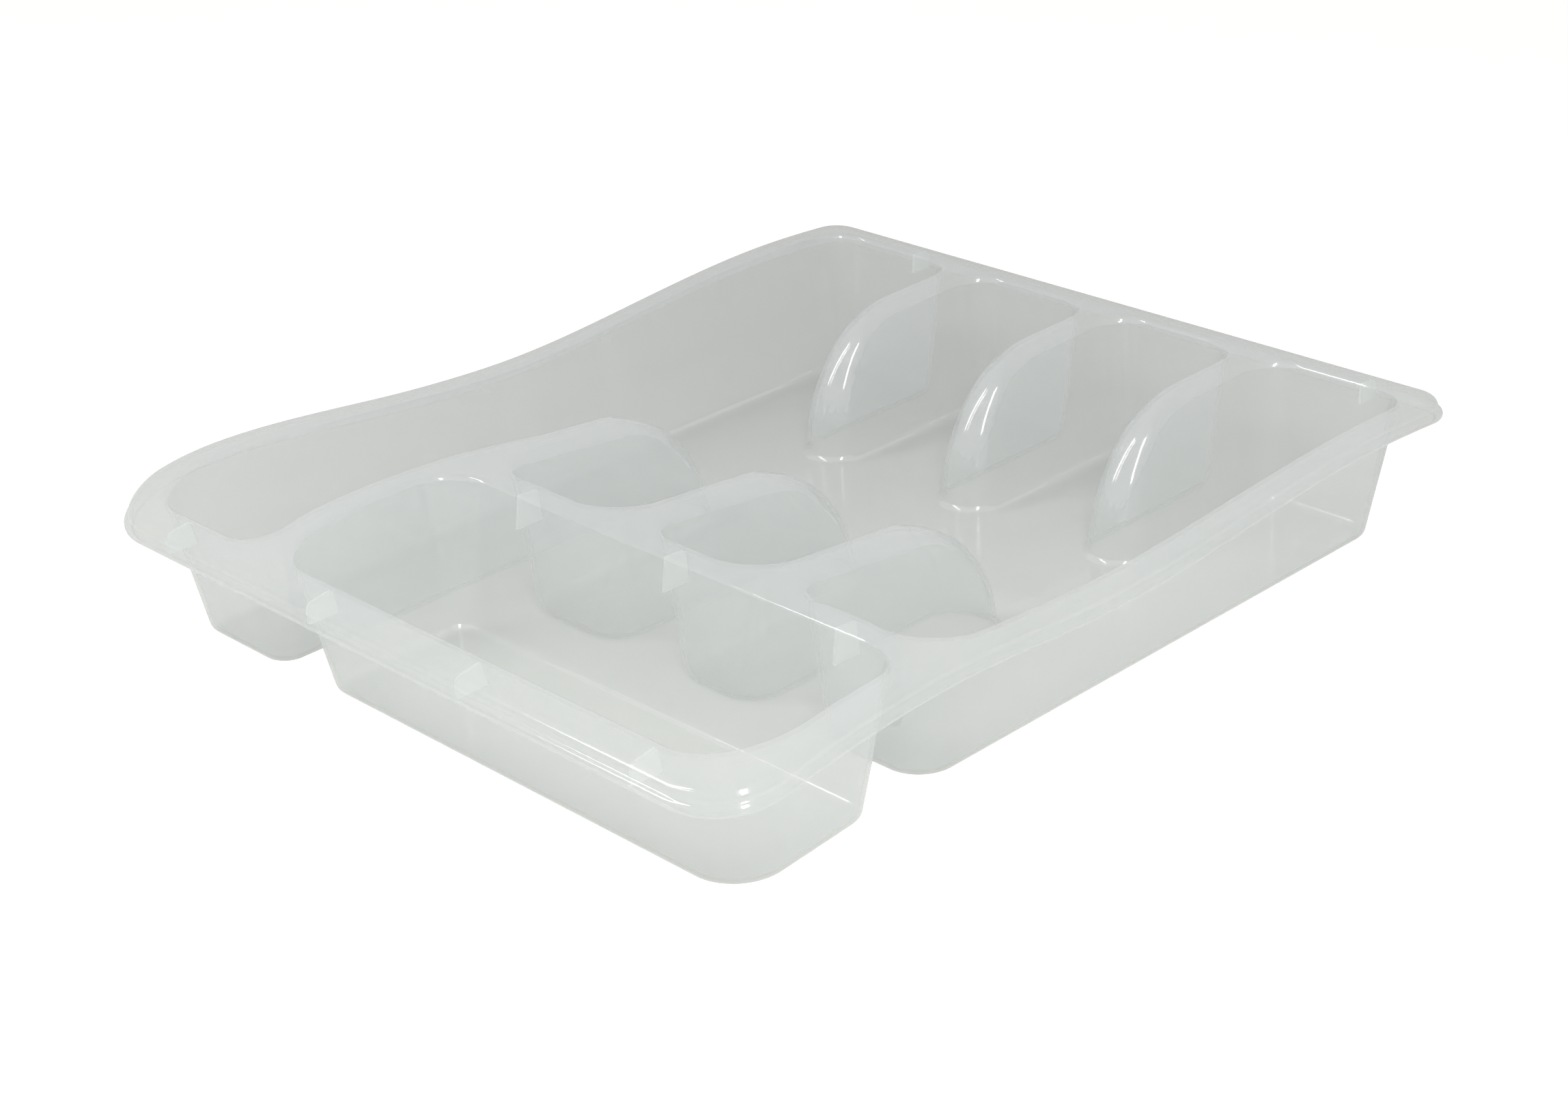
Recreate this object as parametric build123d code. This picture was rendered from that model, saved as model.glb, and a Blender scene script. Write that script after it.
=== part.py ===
from build123d import *
import os

# Cutlery tray, one thin plastic moulding drawn in millimetres.
# X runs left to right, Y front to back, Z up. The origin is the middle of the
# rim's length and width, on the plane that the tray stands on.
# The moulding is drawn whole, then divided into the floors, walls, dividers,
# fins and rims that make it up, which meet face to face. Ribs fill its channels.

os.makedirs("parts", exist_ok=True)

# Plastic thickness
wall = 1.5
rib_thickness = 1.2

# Rim plan, measured on its upright outer face; the sides flare out at the front
rim_length = 380.0
rim_width = 324.6
rim_flare = 9.2
rim_flare_share = -0.126
rim_front_radius = 27.0
rim_back_radius = 12.0

# Rim section
rim_drop = 8.8
roll_radius = 4.0
bead_height = 4.6
bead_reach = 1.8

# Heights of the wavy top face, from the front edge to the back edge
top_front_edge = 50.8
top_front_lip = 54.0
top_front_rise = 57.3
top_front_crest = 60.4
top_front_fall = 56.0
top_dip = 52.4
top_back_rise = 55.6
top_back_crest = 60.0
top_back_edge = 56.3
wave_shares = (-0.53, -0.468, -0.432, -0.345, -0.158, 0.0, 0.158, 0.37, 0.53)

# Inner faces of the hollows where they meet the floor
side_setback = 21.8
front_setback = 23.7
left_cell_front_setback = 21.7
back_setback = 18.0
floor_flare = 5.3
front_cell_depth = 62.3
left_divider_foot = 26.5
cross_divider_foot = 25.5

# How far each inner face leans outward over the reference height
reference_height = 55.0
side_lean = 13.0
front_lean = 10.5
back_lean = 6.0
front_cell_lean = 9.5
left_cell_front_lean = 8.8
left_cell_right_lean = 4.5
back_cells_front_lean = 4.0

# Upright corner radii inside the hollows
small_corner = 9.0
middle_corner = 14.0
front_corner = 18.0

# Front fins: half dividers with a round nose whose top sinks to the floor.
# They stand at shares of the floor's width, and end at a share of its length.
front_fin_place_shares = (0.219, 0.511, 0.77)
front_fin_tip_share = 0.41
front_fin_foot_half = 15.8
front_fin_top_half = 8.0
front_fin_bend_run = 42.2
front_fin_bend_height = 51.6
front_fin_root_height = 59.2

# Back fins
back_fin_place_shares = (0.237, 0.51, 0.781)
back_fin_tip_share = 0.653
back_fin_foot_half = 13.9
back_fin_top_half = 6.3
back_fin_bend_run = 46.6
back_fin_bend_height = 58.4
back_fin_root_height = 59.3

# Ribs under the rim and under the cross divider, at shares of the half width,
# and on the sides at shares of the half length
front_rib_shares = (-0.795, -0.262, 0.243, 0.77)
back_rib_shares = (-0.647, 0.795)
cross_rib_shares = (-0.268, 0.222, 0.733)
side_rib_shares = (-0.1, 0.242)
rib_depth = 14.0

# How far cutting blocks reach past what they cut, how far round corners and
# twisted sides run along a fin, and where the curve of a fin's top is fullest
overrun = 20.0
fin_blend_length = 30.0
curve_share = 0.7

# Places that follow from these sizes
top_heights = (
    top_front_edge, top_front_lip, top_front_rise, top_front_crest,
    top_front_fall, top_dip, top_back_rise, top_back_crest, top_back_edge,
)
tall = max(top_heights) + wall
half_length = rim_length / 2
half_back = rim_width / 2
half_front = half_back + rim_flare
half_rib = rib_thickness / 2
rim_flare_y = rim_flare_share * rim_length
floor_half_width = half_back - side_setback
floor_front_y = front_setback - half_length
left_cell_front_y = left_cell_front_setback - half_length
floor_back_y = half_length - back_setback
front_cell_back_y = floor_front_y + front_cell_depth
back_cells_front_y = front_cell_back_y + cross_divider_foot
back_cells_length = floor_back_y - back_cells_front_y
front_fin_lean = front_fin_foot_half - front_fin_top_half
back_fin_lean = back_fin_foot_half - back_fin_top_half
front_fin_xs = [(share + share - 1) * floor_half_width for share in front_fin_place_shares]
back_fin_xs = [(share + share - 1) * floor_half_width for share in back_fin_place_shares]
front_fin_root_y = back_cells_front_y - middle_corner
front_fin_tip_y = back_cells_front_y + front_fin_tip_share * back_cells_length
front_fin_bend_y = front_fin_tip_y - front_fin_bend_run
back_fin_tip_y = back_cells_front_y + back_fin_tip_share * back_cells_length
back_fin_bend_y = back_fin_tip_y + back_fin_bend_run
left_cell_right_x = front_fin_xs[0] - front_fin_foot_half
front_cell_left_x = left_cell_right_x + left_divider_foot


def block_between(x0, x1, y0, y1, z0=-overrun, z1=tall):
    """Upright block between three pairs of planes."""
    plan = make_face(Polyline((x0, y0), (x1, y0), (x1, y1), (x0, y1), close=True))
    return extrude(Pos(0, 0, z0) * plan, amount=z1 - z0)


def across(profile):
    """Block that carries a side-view profile right across the tray."""
    reach = half_front + overrun
    return extrude(Pos(-reach, 0, 0) * (Plane.YZ * profile), amount=2 * reach)


def rim_outline(inset):
    """Closed plan outline of the rim, moved inward by inset."""
    back_x = half_back - inset
    front_x = half_front - inset
    y_back = half_length - inset
    y_front = inset - half_length
    back_r = rim_back_radius - inset
    front_r = rim_front_radius - inset
    edges = []
    for side in (1, -1):
        edges += [
            Line((0, y_back), (side * (back_x - back_r), y_back)),
            RadiusArc(
                (side * (back_x - back_r), y_back),
                (side * back_x, y_back - back_r),
                side * back_r,
            ),
            Line((side * back_x, y_back - back_r), (side * back_x, rim_flare_y)),
            Spline(
                (side * back_x, rim_flare_y),
                (side * front_x, y_front + front_r),
                tangents=((0, -1), (0, -1)),
            ),
            RadiusArc(
                (side * front_x, y_front + front_r),
                (side * (front_x - front_r), y_front),
                side * front_r,
            ),
            Line((side * (front_x - front_r), y_front), (0, y_front)),
        ]
    return make_face(edges)


def below_top(drop):
    """Everything under the wavy top face lowered by drop."""
    crown = [(share * rim_length, height - drop)
             for share, height in zip(wave_shares, top_heights)]
    front_end = (crown[0][0] - overrun, crown[0][1])
    back_end = (crown[-1][0] + overrun, crown[-1][1])
    profile = make_face([
        Spline(*crown),
        Polyline(crown[-1], back_end, (back_end[0], -overrun),
                 (front_end[0], -overrun), front_end, crown[0]),
    ])
    return across(profile)


def rolled_block(inset, drop, radius):
    """Solid block under the top face with its upper edge rolled over."""
    block = extrude(rim_outline(inset), amount=tall) & below_top(drop)
    crown = block.faces().sort_by(Axis.Z)[-1]
    return fillet(crown.outer_wire().edges(), radius)


def moved_corners(corners, moves):
    """Corners of a plan after each of its sides moves outward.
    The first side runs from the first corner to the second, and so on."""
    sides = []
    for i, move in enumerate(moves):
        start = Vector(*corners[i])
        along = (Vector(*corners[(i + 1) % len(corners)]) - start).normalized()
        sides.append((start + Vector(along.Y, -along.X) * move, along))
    found = []
    for i, (start, along) in enumerate(sides):
        other_start, other_along = sides[i - 1]
        gap = start - other_start
        turn = other_along.cross(along).Z
        found.append(other_start + other_along * (gap.cross(along).Z / turn))
    return found


def leaning_block(corners, leans, radii, skin):
    """One hollow with leaning sides, or its outside when skin is the wall.
    Radii round the upright edges, in the order of the plan's corners."""
    rings = []
    for z in (wall - skin, tall):
        share = (z - wall) / reference_height
        moves = [lean * share + skin for lean in leans]
        rings.append([p + Vector(0, 0, z) for p in moved_corners(corners, moves)])
    low, high = rings
    faces = [low[::-1], high]
    faces += [[low[i - 1], low[i], high[i], high[i - 1]] for i in range(len(low))]
    block = Solid(Shell([Face(Wire.make_polygon(ring)) for ring in faces]))
    for foot, head, radius in zip(low, high, radii):
        if radius:
            upright = block.edges().sort_by_distance((foot + head) / 2)[0]
            block = block.fillet(radius + skin, [upright])
    return block


def plan_corners(x0, x1, y0, y1):
    """Corners of a rectangular plan, starting at the front left."""
    return (x0, y0), (x1, y0), (x1, y1), (x0, y1)


def fin_plan(x, foot_half, lean, root_y, tip_y, skin):
    """Tall block with the plan of a fin, leaning sides and a round nose."""
    inward = 1 if root_y > tip_y else -1
    wires = []
    for z in (-overrun, tall):
        half = foot_half - skin - lean * (z - wall) / reference_height
        nose_y = tip_y + inward * (foot_half - half)
        cheek_y = nose_y + inward * half
        wires.append(Pos(0, 0, z) * Wire([
            Line((x - half, root_y), (x - half, cheek_y)),
            ThreePointArc((x - half, cheek_y), (x, nose_y), (x + half, cheek_y)),
            Line((x + half, cheek_y), (x + half, root_y)),
            Line((x + half, root_y), (x - half, root_y)),
        ]))
    return Solid.make_loft(wires, ruled=True)


def ridge(root, bend, tip):
    """Top line of a fin: straight from its root to the bend, then down in a curve."""
    run = tip[0] - bend[0]
    rise = bend[1] - tip[1]
    slope = (bend[0] - root[0], bend[1] - root[1])
    middle = (bend[0] + run * curve_share, tip[1] + rise * curve_share)
    return [
        Line(root, bend),
        Spline(bend, middle, tip, tangents=(slope, (0, -1))),
    ]


def above_fins(skin):
    """The space over the fins' tops, across the whole tray."""
    foot = wall - skin
    front_root = (front_fin_root_y, front_fin_root_height - skin)
    front_bend = (front_fin_bend_y, front_fin_bend_height - skin)
    front_tip = (front_fin_tip_y - skin, foot)
    back_tip = (back_fin_tip_y + skin, foot)
    back_bend = (back_fin_bend_y, back_fin_bend_height - skin)
    back_root = (half_length, back_fin_root_height - skin)
    space = make_face(
        ridge(front_root, front_bend, front_tip)
        + ridge(back_root, back_bend, back_tip)
        + [
            Polyline(front_tip, (front_tip[0], -overrun), (back_tip[0], -overrun), back_tip),
            Polyline(back_root, (half_length, tall), (front_fin_root_y, tall), front_root),
        ]
    )
    return across(space)


def cell_spans(fin_xs, foot_half, lean):
    """Position and lean of the left and right faces of each cell in a row."""
    lefts = [(-floor_half_width, side_lean)] + [(x + foot_half, lean) for x in fin_xs]
    rights = [(x - foot_half, lean) for x in fin_xs] + [(floor_half_width, side_lean)]
    return list(zip(lefts, rights))


def back_hollow(skin):
    """The wide hollow behind the cross divider, with the fins standing in it."""
    whole = leaning_block(
        plan_corners(-floor_half_width, floor_half_width, back_cells_front_y, floor_back_y),
        (back_cells_front_lean, side_lean, back_lean, side_lean),
        (0, middle_corner, small_corner, small_corner), skin,
    )
    front_seam_y = back_cells_front_y + fin_blend_length
    back_seam_y = floor_back_y - fin_blend_length
    space = whole & block_between(-half_front, half_front, front_seam_y, back_seam_y)
    for x in front_fin_xs:
        space -= fin_plan(x, front_fin_foot_half, front_fin_lean,
                          front_fin_root_y, front_fin_tip_y, skin)
    for x in back_fin_xs:
        space -= fin_plan(x, back_fin_foot_half, back_fin_lean,
                          half_length, back_fin_tip_y, skin)
    front_spans = cell_spans(front_fin_xs, front_fin_foot_half, front_fin_lean)
    for (x0, lean0), (x1, lean1) in front_spans[1:]:
        space += leaning_block(
            plan_corners(x0, x1, back_cells_front_y, front_seam_y),
            (back_cells_front_lean, lean1, 0, lean0),
            (middle_corner, middle_corner, 0, 0), skin,
        )
    for (x0, lean0), (x1, lean1) in cell_spans(back_fin_xs, back_fin_foot_half, back_fin_lean):
        space += leaning_block(
            plan_corners(x0, x1, back_seam_y, floor_back_y),
            (0, lean1, back_lean, lean0), (0, 0, small_corner, small_corner), skin,
        )
    return space + (whole & above_fins(skin))


def left_hollow(skin):
    """The front stretch of the long left cell.
    Its right side twists from the divider's lean to the first fin's."""
    corners = (
        (-floor_half_width - floor_flare, left_cell_front_y),
        (left_cell_right_x, left_cell_front_y),
        (left_cell_right_x, back_cells_front_y),
        (-floor_half_width, back_cells_front_y),
        (-floor_half_width, front_cell_back_y),
    )
    leans = (left_cell_front_lean, left_cell_right_lean, 0, side_lean, side_lean)
    straight = leaning_block(corners, leans, (small_corner, small_corner, 0, 0, 0), skin)
    sections = []
    for y, lean in (
        (back_cells_front_y + skin, left_cell_right_lean),
        (back_cells_front_y + fin_blend_length, front_fin_lean),
    ):
        corners = []
        for z in (wall - skin, tall):
            share = (z - wall) / reference_height
            left = (-floor_half_width - skin - side_lean * share, y, z)
            right = (left_cell_right_x + skin + lean * share, y, z)
            corners += [left, right] if z < tall else [right, left]
        sections.append(Wire.make_polygon(corners))
    return straight + Solid.make_loft(sections, ruled=True)


def front_hollow(skin):
    """The cell that lies across the front."""
    corners = (
        (front_cell_left_x, floor_front_y),
        (floor_half_width + floor_flare, floor_front_y),
        (floor_half_width, front_cell_back_y),
        (front_cell_left_x, front_cell_back_y),
    )
    leans = (front_lean, side_lean, front_cell_lean, front_cell_lean)
    radii = (small_corner, front_corner, small_corner, small_corner)
    return leaning_block(corners, leans, radii, skin)


def hollows(skin):
    """All the room for cutlery, or the moulding's outside when skin is the wall."""
    return back_hollow(skin) + left_hollow(skin) + front_hollow(skin)


# The moulding, whole
top_block = rolled_block(0, 0, roll_radius)
under_block = rolled_block(wall, wall, roll_radius - wall)
tubs = hollows(wall)
air = hollows(0)
bead_band = below_top(rim_drop - bead_height) - below_top(rim_drop)
bead = bead_band & extrude(rim_outline(-bead_reach) - rim_outline(wall), amount=tall)
rim = (top_block - under_block - below_top(rim_drop)) + bead - tubs
shell = (tubs & top_block) - air

# Seams that divide it, clear of the rounded corners
front_seam_y = floor_front_y + small_corner
back_seam_y = floor_back_y - small_corner
side_seam_x = floor_half_width - small_corner
corner_seam_x = front_cell_left_x + small_corner
fin_root_seam_y = back_cells_front_y + middle_corner
fin_gap_y = (front_fin_tip_y + back_fin_tip_y) / 2
outside = half_length + overrun

parts = {}


def take(name, body, x0=-outside, x1=outside, y0=-outside, y1=outside, z0=-overrun, z1=tall):
    """Keep as a named piece what a body has between three pairs of planes."""
    parts[name] = body & block_between(x0, x1, y0, y1, z0, z1)


# Rim: the flat top, its rolled edge, the upright band and the bead under it
take("rim_front", rim, y1=floor_front_y)
take("rim_back", rim, y0=floor_back_y)
take("rim_left", rim, x1=-floor_half_width, y0=floor_front_y, y1=floor_back_y)
take("rim_right", rim, x0=floor_half_width, y0=floor_front_y, y1=floor_back_y)
inner_top = rim & block_between(-floor_half_width, floor_half_width, floor_front_y, floor_back_y)
body = shell + inner_top

# Floors
fin_seam_x = front_fin_xs[0]
take("floor_left_cell", body, x1=fin_seam_x, z1=wall)
take("floor_front_cell", body, x0=fin_seam_x, y1=front_fin_root_y, z1=wall)
take("floor_back_cells", body, x0=fin_seam_x, y0=front_fin_root_y, z1=wall)

# Outer walls
take("wall_front", body, y1=front_seam_y, z0=wall)
take("wall_back", body, y0=back_seam_y, z0=wall)
take("wall_left", body, x1=-side_seam_x, y0=front_seam_y, y1=back_seam_y, z0=wall)
take("wall_right", body, x0=side_seam_x, y0=front_seam_y, y1=back_seam_y, z0=wall)

# Hollow dividers, with the deck over them
take("divider_left", body, -side_seam_x, corner_seam_x, front_seam_y, fin_root_seam_y, wall)
take("divider_cross", body, corner_seam_x, side_seam_x, front_seam_y, fin_root_seam_y, wall)

# Fins
sides = ("left", "middle", "right")
for name, xs, foot_half, y0, y1 in (
    ("front_fin", front_fin_xs, front_fin_foot_half, fin_root_seam_y, fin_gap_y),
    ("back_fin", back_fin_xs, back_fin_foot_half, fin_gap_y, back_seam_y),
):
    reach = foot_half + wall
    for side, x in zip(sides, xs):
        take(f"{name}_{side}", body, x - reach, x + reach, y0, y1, wall)

# Ribs: thin upright plates that fill the channel under the deck
channel = under_block - tubs
rim_channel = channel - below_top(rim_drop)
deep_channel = channel - below_top(rib_depth)


def plates(room, shares, y0, y1):
    """A row of plates along X, each reaching from y0 to y1."""
    row = []
    for share in shares:
        x = share * half_back
        row += (room & block_between(x - half_rib, x + half_rib, y0, y1)).solids()
    return Compound(row)


def side_plates(x0, x1):
    """A row of plates along Y, each reaching from x0 to x1."""
    row = []
    for share in side_rib_shares:
        y = share * half_length
        row += (rim_channel & block_between(x0, x1, y - half_rib, y + half_rib)).solids()
    return Compound(row)


parts["rim_ribs_front"] = plates(rim_channel, front_rib_shares, -half_length, floor_front_y)
parts["rim_ribs_back"] = plates(deep_channel, back_rib_shares, floor_back_y, half_length)
parts["rim_ribs_left"] = side_plates(-half_front, -floor_half_width)
parts["rim_ribs_right"] = side_plates(floor_half_width, half_front)
parts["divider_ribs"] = plates(
    deep_channel, cross_rib_shares, front_cell_back_y, back_cells_front_y
)

for name, shape in parts.items():
    export_step(shape, f"parts/{name}.step")
print(len(parts), "pieces")
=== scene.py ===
import math

import bpy
import numpy as np
from mathutils import Matrix, Vector, geometry


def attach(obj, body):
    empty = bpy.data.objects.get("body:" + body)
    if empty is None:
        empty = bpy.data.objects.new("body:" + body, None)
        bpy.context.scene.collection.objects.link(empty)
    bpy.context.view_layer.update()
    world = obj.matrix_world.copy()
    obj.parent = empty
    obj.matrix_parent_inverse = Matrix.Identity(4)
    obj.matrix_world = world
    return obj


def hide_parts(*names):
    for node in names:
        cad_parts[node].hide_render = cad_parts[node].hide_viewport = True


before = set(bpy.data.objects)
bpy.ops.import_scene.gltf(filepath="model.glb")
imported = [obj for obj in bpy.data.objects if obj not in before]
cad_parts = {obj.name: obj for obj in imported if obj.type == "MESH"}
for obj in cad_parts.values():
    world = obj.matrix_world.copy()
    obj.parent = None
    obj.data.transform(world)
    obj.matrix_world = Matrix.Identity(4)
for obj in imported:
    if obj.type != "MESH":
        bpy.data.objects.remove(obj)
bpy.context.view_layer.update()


# The tray: one thin injection moulding in milky polypropylene, whose cells, fins, wavy deck,
# rolled rim and bead are all drawn from the same sheet. It leaves the mould in one piece and
# nothing is fixed to it, so it is one closed mesh. Its sizes are in millimetres.

MM = 0.001
SHEET = 1.5
FOOT_FILLET = 3.0    # inner fillet where a wall meets the floor
TOP_RADIUS = 2.4     # where a wall rolls over into the deck

# A wall's lean is how far it moves outwards over this much height.
LEAN_OVER = 55.0
SIDE_LEAN, LEFT_FRONT_LEAN, PARTITION_LEAN = 13.0, 8.8, 4.5
CELLS_FRONT_LEAN, CELLS_BACK_LEAN = 4.0, 6.0
WIDE_FRONT_LEAN, WIDE_BACK_LEAN = 10.5, 9.5

# The rim's half widths at the back and at the front, its half length, and where it flares out.
RIM_BACK, RIM_FRONT, RIM_Y = 162.3, 171.5, 190.0
FLARE_FROM, FLARE_TO = -48.0, -163.0
RIM_CORNERS = {"back": 12.0, "front": 27.0}

# The rim's section: the roll's radius, how far its edge drops below the deck, and the bead.
ROLL, DROP = 4.0, 8.8
BEAD_RADIUS, BEAD_OUT = 2.35, 1.75
GROOVE_FACES = (0.8, 0.6)     # outwards and upwards, just above the bead

# The deck's wave as (y, height), then where the walls stand on the floor.
DECK_LINE = ((-201.0, 50.8), (-178.0, 54.0), (-164.0, 57.3), (-131.0, 60.35), (-60.0, 56.0),
             (0.0, 52.4), (60.0, 55.6), (140.6, 59.95), (201.0, 56.3))
SIDE_X, SIDE_FRONT_X, SIDE_BEND_Y = 140.5, 145.8, -104.0
LEFT_FRONT_Y, WIDE_FRONT_Y, WIDE_BACK_Y = -168.3, -166.3, -104.0
CELLS_FRONT_Y, CELLS_BACK_Y = -78.5, 172.0
LEFT_CELL_RIGHT_X, WIDE_LEFT_X = -94.8, -68.3
CELL_CORNER, WIDE_FRONT_CORNER, SIDE_BEND = 9.0, 18.0, 60.0
TWIST_RUN, TWIST_RADIUS = 30.0, 3.4

# The fins: the middle line of each, half their width at the floor, and their tops as
# (y, height) at the root, the bend and the tip.
FRONT_FINS, BACK_FINS = (-79.0, 3.1, 75.9), (-73.9, 2.8, 79.0)
FRONT_FOOT, BACK_FOOT = 15.8, 13.9
FRONT_LEAN, BACK_LEAN = 7.8, 7.6
FRONT_ROOT, BACK_ROOT = 14.0, 9.0             # plan radius where a fin leaves its wall
FRONT_SHOULDER, BACK_SHOULDER = 5.0, 6.0      # radius between a fin's side and its top
FRONT_RIDGE = ((-92.5, 59.2), (-18.0, 51.6), (24.2, SHEET))
BACK_RIDGE = ((190.0, 59.3), (131.7, 58.4), (85.1, SHEET))
FULLNESS = 0.533                              # how far a ridge's curve bulges
NOSE_BEFORE, NOSE_OVER = 15.0, 25.0           # a nose starts this far before the bend, over this run
FINS_MIDDLE_Y, FINS_FRONT_Y, FINS_SIDE_X = 55.0, -90.0, 112.0

# How many rows of points follow each curve, how often a place is refined, and the step
# over which a slope is taken.
FOOT_ROWS, TOP_ROWS, ROLL_ROWS, BEAD_ROWS = 5, 8, 9, 10
WALL_ROWS = (0.3, 0.65)                       # shares of a wall's height
NOSE_ROUNDS, HALVINGS, TOP_ROUNDS = 6, 40, 12
NUDGE = 0.1


def smooth_line(points):
    """A natural cubic through the points, as a function of its first coordinate."""
    at, height = np.array(points).T
    gap, rise = np.diff(at), np.diff(height)
    count = len(at)
    rows, right = np.eye(count), np.zeros(count)
    for i in range(1, count - 1):
        rows[i, i - 1:i + 2] = gap[i - 1], 2 * (gap[i - 1] + gap[i]), gap[i]
        right[i] = 3 * (rise[i] / gap[i] - rise[i - 1] / gap[i - 1])
    bend = np.linalg.solve(rows, right)

    def line(y):
        i = np.clip(np.searchsorted(at, y) - 1, 0, count - 2)
        t = y - at[i]
        slope = rise[i] / gap[i] - gap[i] * (2 * bend[i] + bend[i + 1]) / 3
        return height[i] + t * (slope + t * (bend[i] + t * (bend[i + 1] - bend[i]) / (3 * gap[i])))
    return line


def ridge_line(root, bend, tip):
    """Top line of a fin: straight from root to bend, then a quarter curve to the tip."""
    along = np.array(bend) - root
    reach = along / abs(along[0]) * abs(tip[0] - bend[0]) * FULLNESS
    first, second = bend + reach, np.array((tip[0], tip[1] + (bend[1] - tip[1]) * FULLNESS))
    t = np.linspace(0, 1, 200)[:, None]
    curve = ((1 - t) ** 3 * np.array(bend) + 3 * t * (1 - t) ** 2 * first
             + 3 * t * t * (1 - t) * second + t ** 3 * np.array(tip))
    line = np.vstack([np.array(root)[None], curve])
    if line[0, 0] > line[-1, 0]:
        line = line[::-1]
    return lambda y: np.interp(y, line[:, 0], line[:, 1])


deck_height = smooth_line(DECK_LINE)
front_ridge, back_ridge = ridge_line(*FRONT_RIDGE), ridge_line(*BACK_RIDGE)


def fin_top(x, y, fins, foot, lean, ridge, tip_way, bend_y):
    """Height of a fin's top. Every level section ends in a round nose, whose tip
    follows the ridge, so that off the middle the top lies further back."""
    off = np.min([np.abs(x - fin) for fin in fins], axis=0)
    share = np.clip(((y - bend_y) * tip_way + NOSE_BEFORE) / NOSE_OVER, 0, 1)
    height = ridge(y)
    for _ in range(NOSE_ROUNDS):
        half = foot - lean * (height - SHEET) / LEAN_OVER
        back = half - np.sqrt(np.maximum(half ** 2 - np.minimum(off, half) ** 2, 0))
        height = ridge(y + back * tip_way * share * share * (3 - 2 * share))
    return height


def top_height(x, y):
    """Height of the deck or of a fin's top over a plan point."""
    deck = deck_height(y)
    front = fin_top(x, y, FRONT_FINS, FRONT_FOOT, FRONT_LEAN, front_ridge, 1, FRONT_RIDGE[1][0])
    back = fin_top(x, y, BACK_FINS, BACK_FOOT, BACK_LEAN, back_ridge, -1, BACK_RIDGE[1][0])
    by_fins = (np.abs(x) < FINS_SIDE_X) & (y > FINS_FRONT_Y)
    return np.where(by_fins, np.minimum(deck, np.where(y < FINS_MIDDLE_Y, front, back)), deck)


def trace(corners, step=3.0, turn=5.0):
    """Walks a plan outline, hollow on the left, and rounds its corners. A corner is
    (x, y, radius, lean at the start of its side, lean at the end, top radius).
    Gives place, outward direction, lean and top radius along it, at every step of a
    side and every few degrees, turn, of a corner."""
    found = []
    count = len(corners)
    at = [np.array(c[:2]) for c in corners]
    way = [(at[(i + 1) % count] - at[i]) / np.linalg.norm(at[(i + 1) % count] - at[i])
           for i in range(count)]
    cut = []
    for i in range(count):
        a, b = way[i - 1], way[i]
        angle = math.atan2(a[0] * b[1] - a[1] * b[0], a @ b)
        cut.append((angle, corners[i][2] * math.tan(abs(angle) / 2)))
    for i, (x, y, radius, lean, lean_end, top) in enumerate(corners):
        angle, back = cut[i]
        a, b = way[i - 1], way[i]
        lean_before, top_before = corners[i - 1][4], corners[i - 1][5]
        if abs(angle) > 1e-6:
            out = np.array((a[1], -a[0]))
            side = 1 if angle > 0 else -1
            centre = at[i] - a * back - out * radius * side
            steps = max(2, math.ceil(math.degrees(abs(angle)) / turn))
            for share in np.linspace(0, 1, steps + 1)[:-1]:
                c, s = math.cos(angle * share), math.sin(angle * share)
                n = np.array((out[0] * c - out[1] * s, out[0] * s + out[1] * c))
                found.append((*(centre + n * radius * side), *n,
                              lean_before + (lean - lean_before) * share,
                              top_before + (top - top_before) * share))
        start, end = at[i] + b * back, at[(i + 1) % count] - b * cut[(i + 1) % count][1]
        length = np.linalg.norm(end - start)
        steps = max(1, round(length / step))
        if length > 0.01:
            for share in np.linspace(0, 1, steps + 1)[:-1]:
                found.append((*(start + (end - start) * share), b[1], -b[0],
                              lean + (lean_end - lean) * share, top))
    return np.array(found)


def wall_corner(x, y, radius, lean):
    """A corner where a plain wall starts."""
    return (x, y, radius, lean, lean, TOP_RADIUS)


def fin_corners(x, foot, lean, shoulder, tip_y, root_y, root, root_lean, first_side=None):
    """The corners of an outline that goes round one fin, starting up its first side."""
    side = 1 if tip_y < root_y else -1
    first, second = x + side * foot, x - side * foot
    rows = first_side or [(first, root_y, root, lean, lean, shoulder)]
    return rows + [(first, tip_y, foot, lean, lean, shoulder),
                   (second, tip_y, foot, lean, lean, shoulder),
                   wall_corner(second, root_y, root, root_lean)]


# The partition beside the left cell twists from its own lean to the first fin's.
twist = [wall_corner(LEFT_CELL_RIGHT_X, LEFT_FRONT_Y, CELL_CORNER, PARTITION_LEAN),
         (LEFT_CELL_RIGHT_X, CELLS_FRONT_Y, 0.0, PARTITION_LEAN, FRONT_LEAN, TWIST_RADIUS),
         (LEFT_CELL_RIGHT_X, CELLS_FRONT_Y + TWIST_RUN, 0.0, FRONT_LEAN, FRONT_LEAN, FRONT_SHOULDER)]
cells_outline = [wall_corner(-SIDE_FRONT_X, LEFT_FRONT_Y, CELL_CORNER, LEFT_FRONT_LEAN)]
for x, first_side in zip(FRONT_FINS, (twist, None, None)):
    cells_outline += fin_corners(x, FRONT_FOOT, FRONT_LEAN, FRONT_SHOULDER, FRONT_RIDGE[-1][0],
                                 CELLS_FRONT_Y, FRONT_ROOT, CELLS_FRONT_LEAN, first_side)
cells_outline += [wall_corner(SIDE_X, CELLS_FRONT_Y, FRONT_ROOT, SIDE_LEAN),
                  wall_corner(SIDE_X, CELLS_BACK_Y, CELL_CORNER, CELLS_BACK_LEAN)]
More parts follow.
